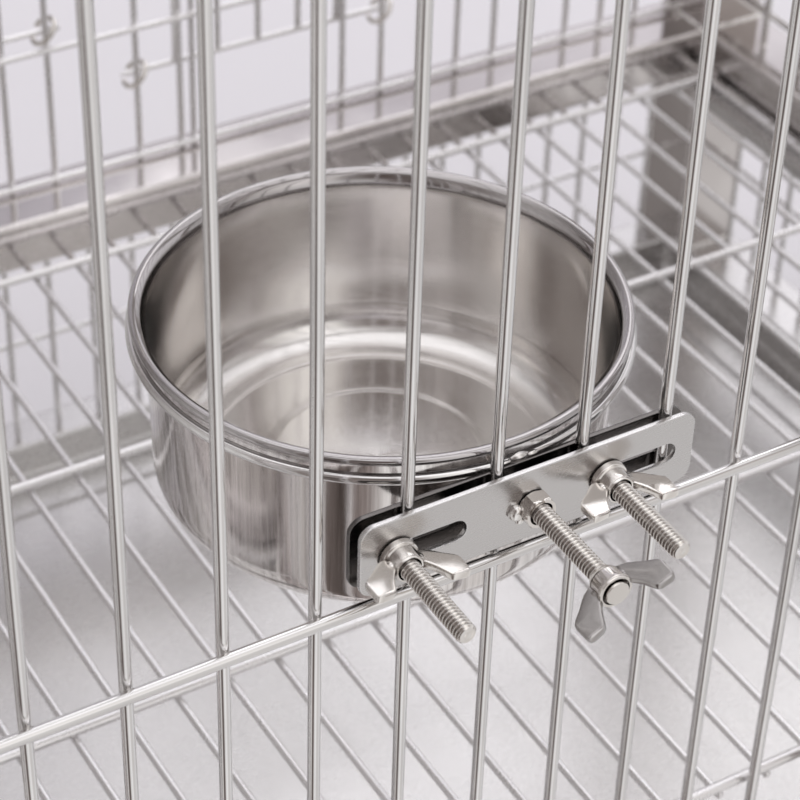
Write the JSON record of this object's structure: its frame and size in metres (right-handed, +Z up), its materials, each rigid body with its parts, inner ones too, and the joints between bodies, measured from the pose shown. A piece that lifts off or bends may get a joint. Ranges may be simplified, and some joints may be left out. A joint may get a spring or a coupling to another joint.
{
  "type": "kennel cage",
  "caption": "Stainless kennel cage of square tube and wire walls, with a hinged front door, a rear flap, a wire floor over a pull-out tray, and a steel bowl clamped to the front wires.",
  "frame": {"origin": "on the ground, under the middle of the whole object's box", "axes": "+X to the right along the front wall, +Y from the front wall towards the rear wall, +Z up"},
  "size_m": [0.7, 0.5588, 0.65],
  "materials": {
    "polished_steel": "mirror-polished stainless tube",
    "wire_steel": "electropolished wire",
    "satin_steel": "satin sheet",
    "fastener_steel": "bright machined",
    "rubber": "matte black"
  },
  "bodies": {
    "cage_body": {"base_frame": "polished_steel", "clamp_bolt_left": "fastener_steel", "clamp_bolt_right": "fastener_steel", "clamp_screw_nut": "fastener_steel", "door_jamb": "polished_steel", "floor_front_rail": "polished_steel", "floor_grid": "wire_steel", "floor_ledge_left": "satin_steel", "floor_ledge_right": "satin_steel", "floor_left_rail": "polished_steel", "floor_rear_rail": "polished_steel", "floor_right_rail": "polished_steel", "front_clamp_plate": "satin_steel", "front_latch_keeper": "satin_steel", "front_left_foot": "rubber", "front_left_post": "polished_steel", "front_panel": "wire_steel", "front_right_foot": "rubber", "front_right_post": "polished_steel", "hinge_bracket_lower": "satin_steel", "hinge_bracket_upper": "satin_steel", "hinge_pin_lower": "fastener_steel", "hinge_pin_upper": "fastener_steel", "left_panel": "wire_steel", "left_skirt": "wire_steel", "rear_clamp_plate": "polished_steel", "rear_latch_keeper": "satin_steel", "rear_left_foot": "rubber", "rear_left_post": "polished_steel", "rear_panel": "wire_steel", "rear_right_foot": "rubber", "rear_right_post": "polished_steel", "rear_skirt": "wire_steel", "right_panel": "wire_steel", "right_skirt": "wire_steel", "ring_clip_1": "fastener_steel", "ring_clip_2": "fastener_steel", "ring_clip_3": "fastener_steel", "ring_holder": "polished_steel", "roof_panel": "wire_steel", "top_frame": "polished_steel", "tray_runner_left": "satin_steel", "tray_runner_right": "satin_steel"},
    "front_door": {"front_door": "wire_steel", "door_hinge_eye_lower": "satin_steel", "door_hinge_eye_upper": "satin_steel", "front_latch_plate": "satin_steel"},
    "front_latch_bolt": {"front_latch_bolt": "fastener_steel"},
    "rear_door": {"rear_door": "wire_steel", "rear_latch_plate": "satin_steel"},
    "rear_latch_bolt": {"rear_latch_bolt": "fastener_steel"},
    "tray": {"tray": "satin_steel", "tray_front": "satin_steel"},
    "bowl": {"bowl": "satin_steel"},
    "wing_nut_left": {"wing_nut_left": "fastener_steel"},
    "wing_nut_right": {"wing_nut_right": "fastener_steel"},
    "clamp_screw": {"clamp_screw": "fastener_steel"},
    "clamp_screw_wing": {"clamp_screw_wing": "fastener_steel"}
  },
  "joints": [
    {"name": "front_door_hinge", "type": "hinge", "parent": "cage_body", "child": "front_door", "pos_m": [0.314, -0.24745, 0.39], "axis": [0, 0, 1], "range_deg": [0, 110]},
    {"name": "front_latch_slide", "type": "slide", "parent": "front_door", "child": "front_latch_bolt", "axis": [-1, 0, 0], "range_m": [0, 0.018]},
    {"name": "rear_door_hinge", "type": "hinge", "parent": "cage_body", "child": "rear_door", "pos_m": [0.066, 0.23895, 0.2338], "axis": [-1, 0, 0], "range_deg": [0, 90]},
    {"name": "rear_latch_slide", "type": "slide", "parent": "rear_door", "child": "rear_latch_bolt", "axis": [1, 0, 0], "range_m": [0, 0.018]},
    {"name": "tray_slide", "type": "slide", "parent": "cage_body", "child": "tray", "axis": [0, -1, 0], "range_m": [0, 0.36]},
    {"name": "bowl_lift", "type": "slide", "parent": "cage_body", "child": "bowl", "axis": [0, 0, 1], "range_m": [0, 0.08]},
    {"name": "wing_nut_left_turn", "type": "hinge", "parent": "cage_body", "child": "wing_nut_left", "pos_m": [-0.1337, -0.23145, 0.3518], "axis": [0, -1, 0], "continuous": true},
    {"name": "wing_nut_right_turn", "type": "hinge", "parent": "cage_body", "child": "wing_nut_right", "pos_m": [-0.061, -0.23145, 0.3518], "axis": [0, -1, 0], "continuous": true},
    {"name": "clamp_screw_travel", "type": "slide", "parent": "cage_body", "child": "clamp_screw", "axis": [0, -1, 0], "range_m": [0, 0.0026]},
    {"name": "clamp_screw_turn", "type": "hinge", "parent": "clamp_screw", "child": "clamp_screw_wing", "pos_m": [-0.0875, -0.26845, 0.3518], "axis": [0, -1, 0], "range_deg": [0, 900]}
  ],
  "couplings": [
    {"joint": "clamp_screw_travel", "follows": "clamp_screw_turn", "m_per_rad": 0.00015915}
  ]
}
